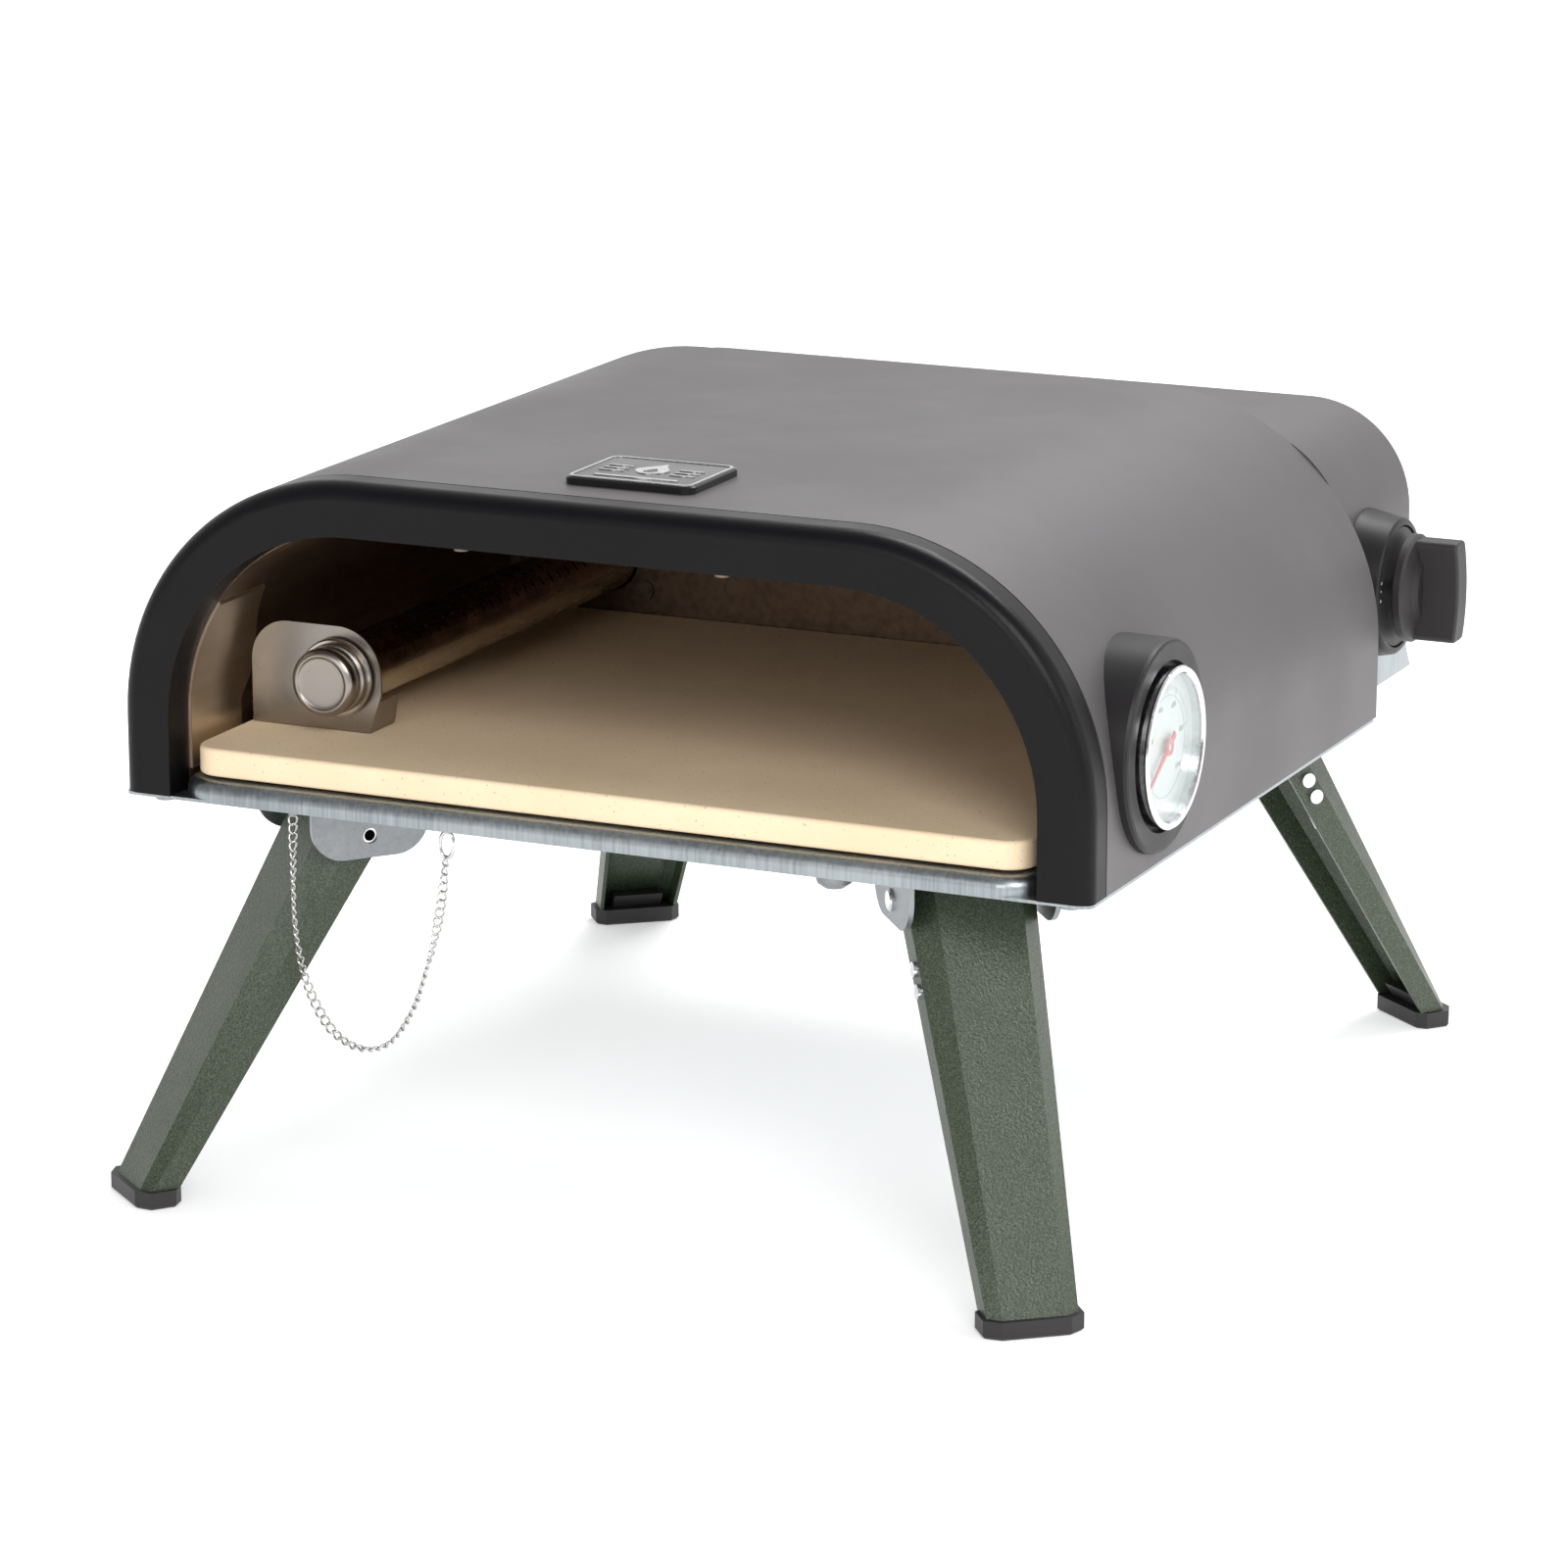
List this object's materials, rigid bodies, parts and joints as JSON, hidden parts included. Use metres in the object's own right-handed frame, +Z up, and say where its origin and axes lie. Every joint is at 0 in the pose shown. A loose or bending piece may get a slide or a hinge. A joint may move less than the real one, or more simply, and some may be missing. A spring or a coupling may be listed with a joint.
{
  "type": "portable pizza oven",
  "caption": "Portable arched gas pizza oven with a ceramic stone, side burner, dial thermometer, control knob and folding splayed legs.",
  "frame": {"origin": "on the ground, under the middle of the whole object's bounding box", "axes": "+Z up, +Y from the mouth towards the rear, +X towards the thermometer and knob side"},
  "size_m": [0.4207, 0.4611, 0.286],
  "materials": {
    "shell_paint": "matte",
    "frame_paint": "satin",
    "galvanised": "satin",
    "stainless": "satin",
    "liner_steel": "satin",
    "insulation": "matte",
    "cordierite": "matte",
    "leg_paint": "satin",
    "black_plastic": "matte",
    "brass": "satin",
    "chrome": "polished",
    "dial_face": "satin",
    "glass": "clear",
    "needle_red": "satin",
    "badge_black": "gloss"
  },
  "bodies": {
    "oven": {"base_tray": "galvanised", "front_frame": "frame_paint", "outer_shell": "shell_paint", "rear_cowl": "shell_paint", "inner_liner": "liner_steel", "back_wall": "liner_steel", "insulation_blanket": "insulation", "rear_insulation": "insulation", "side_heat_shield": "stainless", "stone_rails": "galvanised", "burner_tube": "stainless", "burner_end_cap": "stainless", "burner_crimp_ring": "stainless", "burner_bracket": "stainless", "burner_venturi": "galvanised", "gas_jet": "brass", "jet_bracket": "galvanised", "gas_pipe": "stainless", "gas_valve": "brass", "gas_inlet": "brass", "knob_boss": "black_plastic", "dial_plate": "black_plastic", "thermometer_cup": "frame_paint", "thermometer_case": "chrome", "thermometer_dial": "dial_face", "thermometer_lens": "glass", "thermometer_probe": "stainless", "badge": "badge_black", "chain": "chrome", "chain_ring": "chrome", "chain_anchors": "galvanised", "tray_stud": "galvanised", "liner_screws": "stainless", "tray_bolts": "galvanised", "cowl_screws": "galvanised", "leg_bracket_front_right": "galvanised", "hinge_pin_front_right": "chrome", "leg_bracket_front_left": "galvanised", "hinge_pin_front_left": "chrome", "leg_bracket_rear_right": "galvanised", "hinge_pin_rear_right": "chrome", "leg_bracket_rear_left": "galvanised", "hinge_pin_rear_left": "chrome"},
    "leg_front_right_body": {"leg_front_right": "leg_paint", "foot_front_right": "black_plastic", "leg_clip_front_right": "chrome"},
    "leg_front_left_body": {"leg_front_left": "leg_paint", "foot_front_left": "black_plastic", "leg_clip_front_left": "chrome"},
    "leg_rear_right_body": {"leg_rear_right": "leg_paint", "foot_rear_right": "black_plastic", "leg_clip_rear_right": "chrome"},
    "leg_rear_left_body": {"leg_rear_left": "leg_paint", "foot_rear_left": "black_plastic", "leg_clip_rear_left": "chrome"},
    "stone_body": {"pizza_stone": "cordierite"},
    "push_body": {"valve_spring_seat": "brass"},
    "knob_body": {"knob": "black_plastic", "valve_stem": "chrome"},
    "needle_body": {"thermometer_needle": "needle_red"}
  },
  "joints": [
    {"name": "leg_front_right_fold", "type": "hinge", "parent": "oven", "child": "leg_front_right_body", "pos_m": [0.1212, -0.1493, 0.14], "axis": [0.7771, 0.6293, 0], "range_deg": [0, 119]},
    {"name": "leg_front_left_fold", "type": "hinge", "parent": "oven", "child": "leg_front_left_body", "pos_m": [-0.1398, -0.1493, 0.14], "axis": [0.7771, -0.6293, 0], "range_deg": [0, 119]},
    {"name": "leg_rear_right_fold", "type": "hinge", "parent": "oven", "child": "leg_rear_right_body", "pos_m": [0.1212, 0.1493, 0.14], "axis": [-0.7771, 0.6293, 0], "range_deg": [0, 119]},
    {"name": "leg_rear_left_fold", "type": "hinge", "parent": "oven", "child": "leg_rear_left_body", "pos_m": [-0.1398, 0.1493, 0.14], "axis": [-0.7771, -0.6293, 0], "range_deg": [0, 119]},
    {"name": "stone_slide", "type": "slide", "parent": "oven", "child": "stone_body", "axis": [0, -1, 0], "range_m": [0, 0.3]},
    {"name": "knob_push", "type": "slide", "parent": "oven", "child": "push_body", "axis": [-1, 0, 0], "range_m": [0, 0.003], "stiffness_N_per_m": 1500, "springref_m": -0.002},
    {"name": "knob_turn", "type": "hinge", "parent": "push_body", "child": "knob_body", "pos_m": [0.1871, 0.1527, 0.2], "axis": [1, 0, 0], "range_deg": [0, 270]},
    {"name": "needle_turn", "type": "hinge", "parent": "oven", "child": "needle_body", "pos_m": [0.1937, -0.1348, 0.2], "axis": [-1, 0, 0], "range_deg": [0, 250], "stiffness_Nm_per_rad": 0.0002}
  ]
}
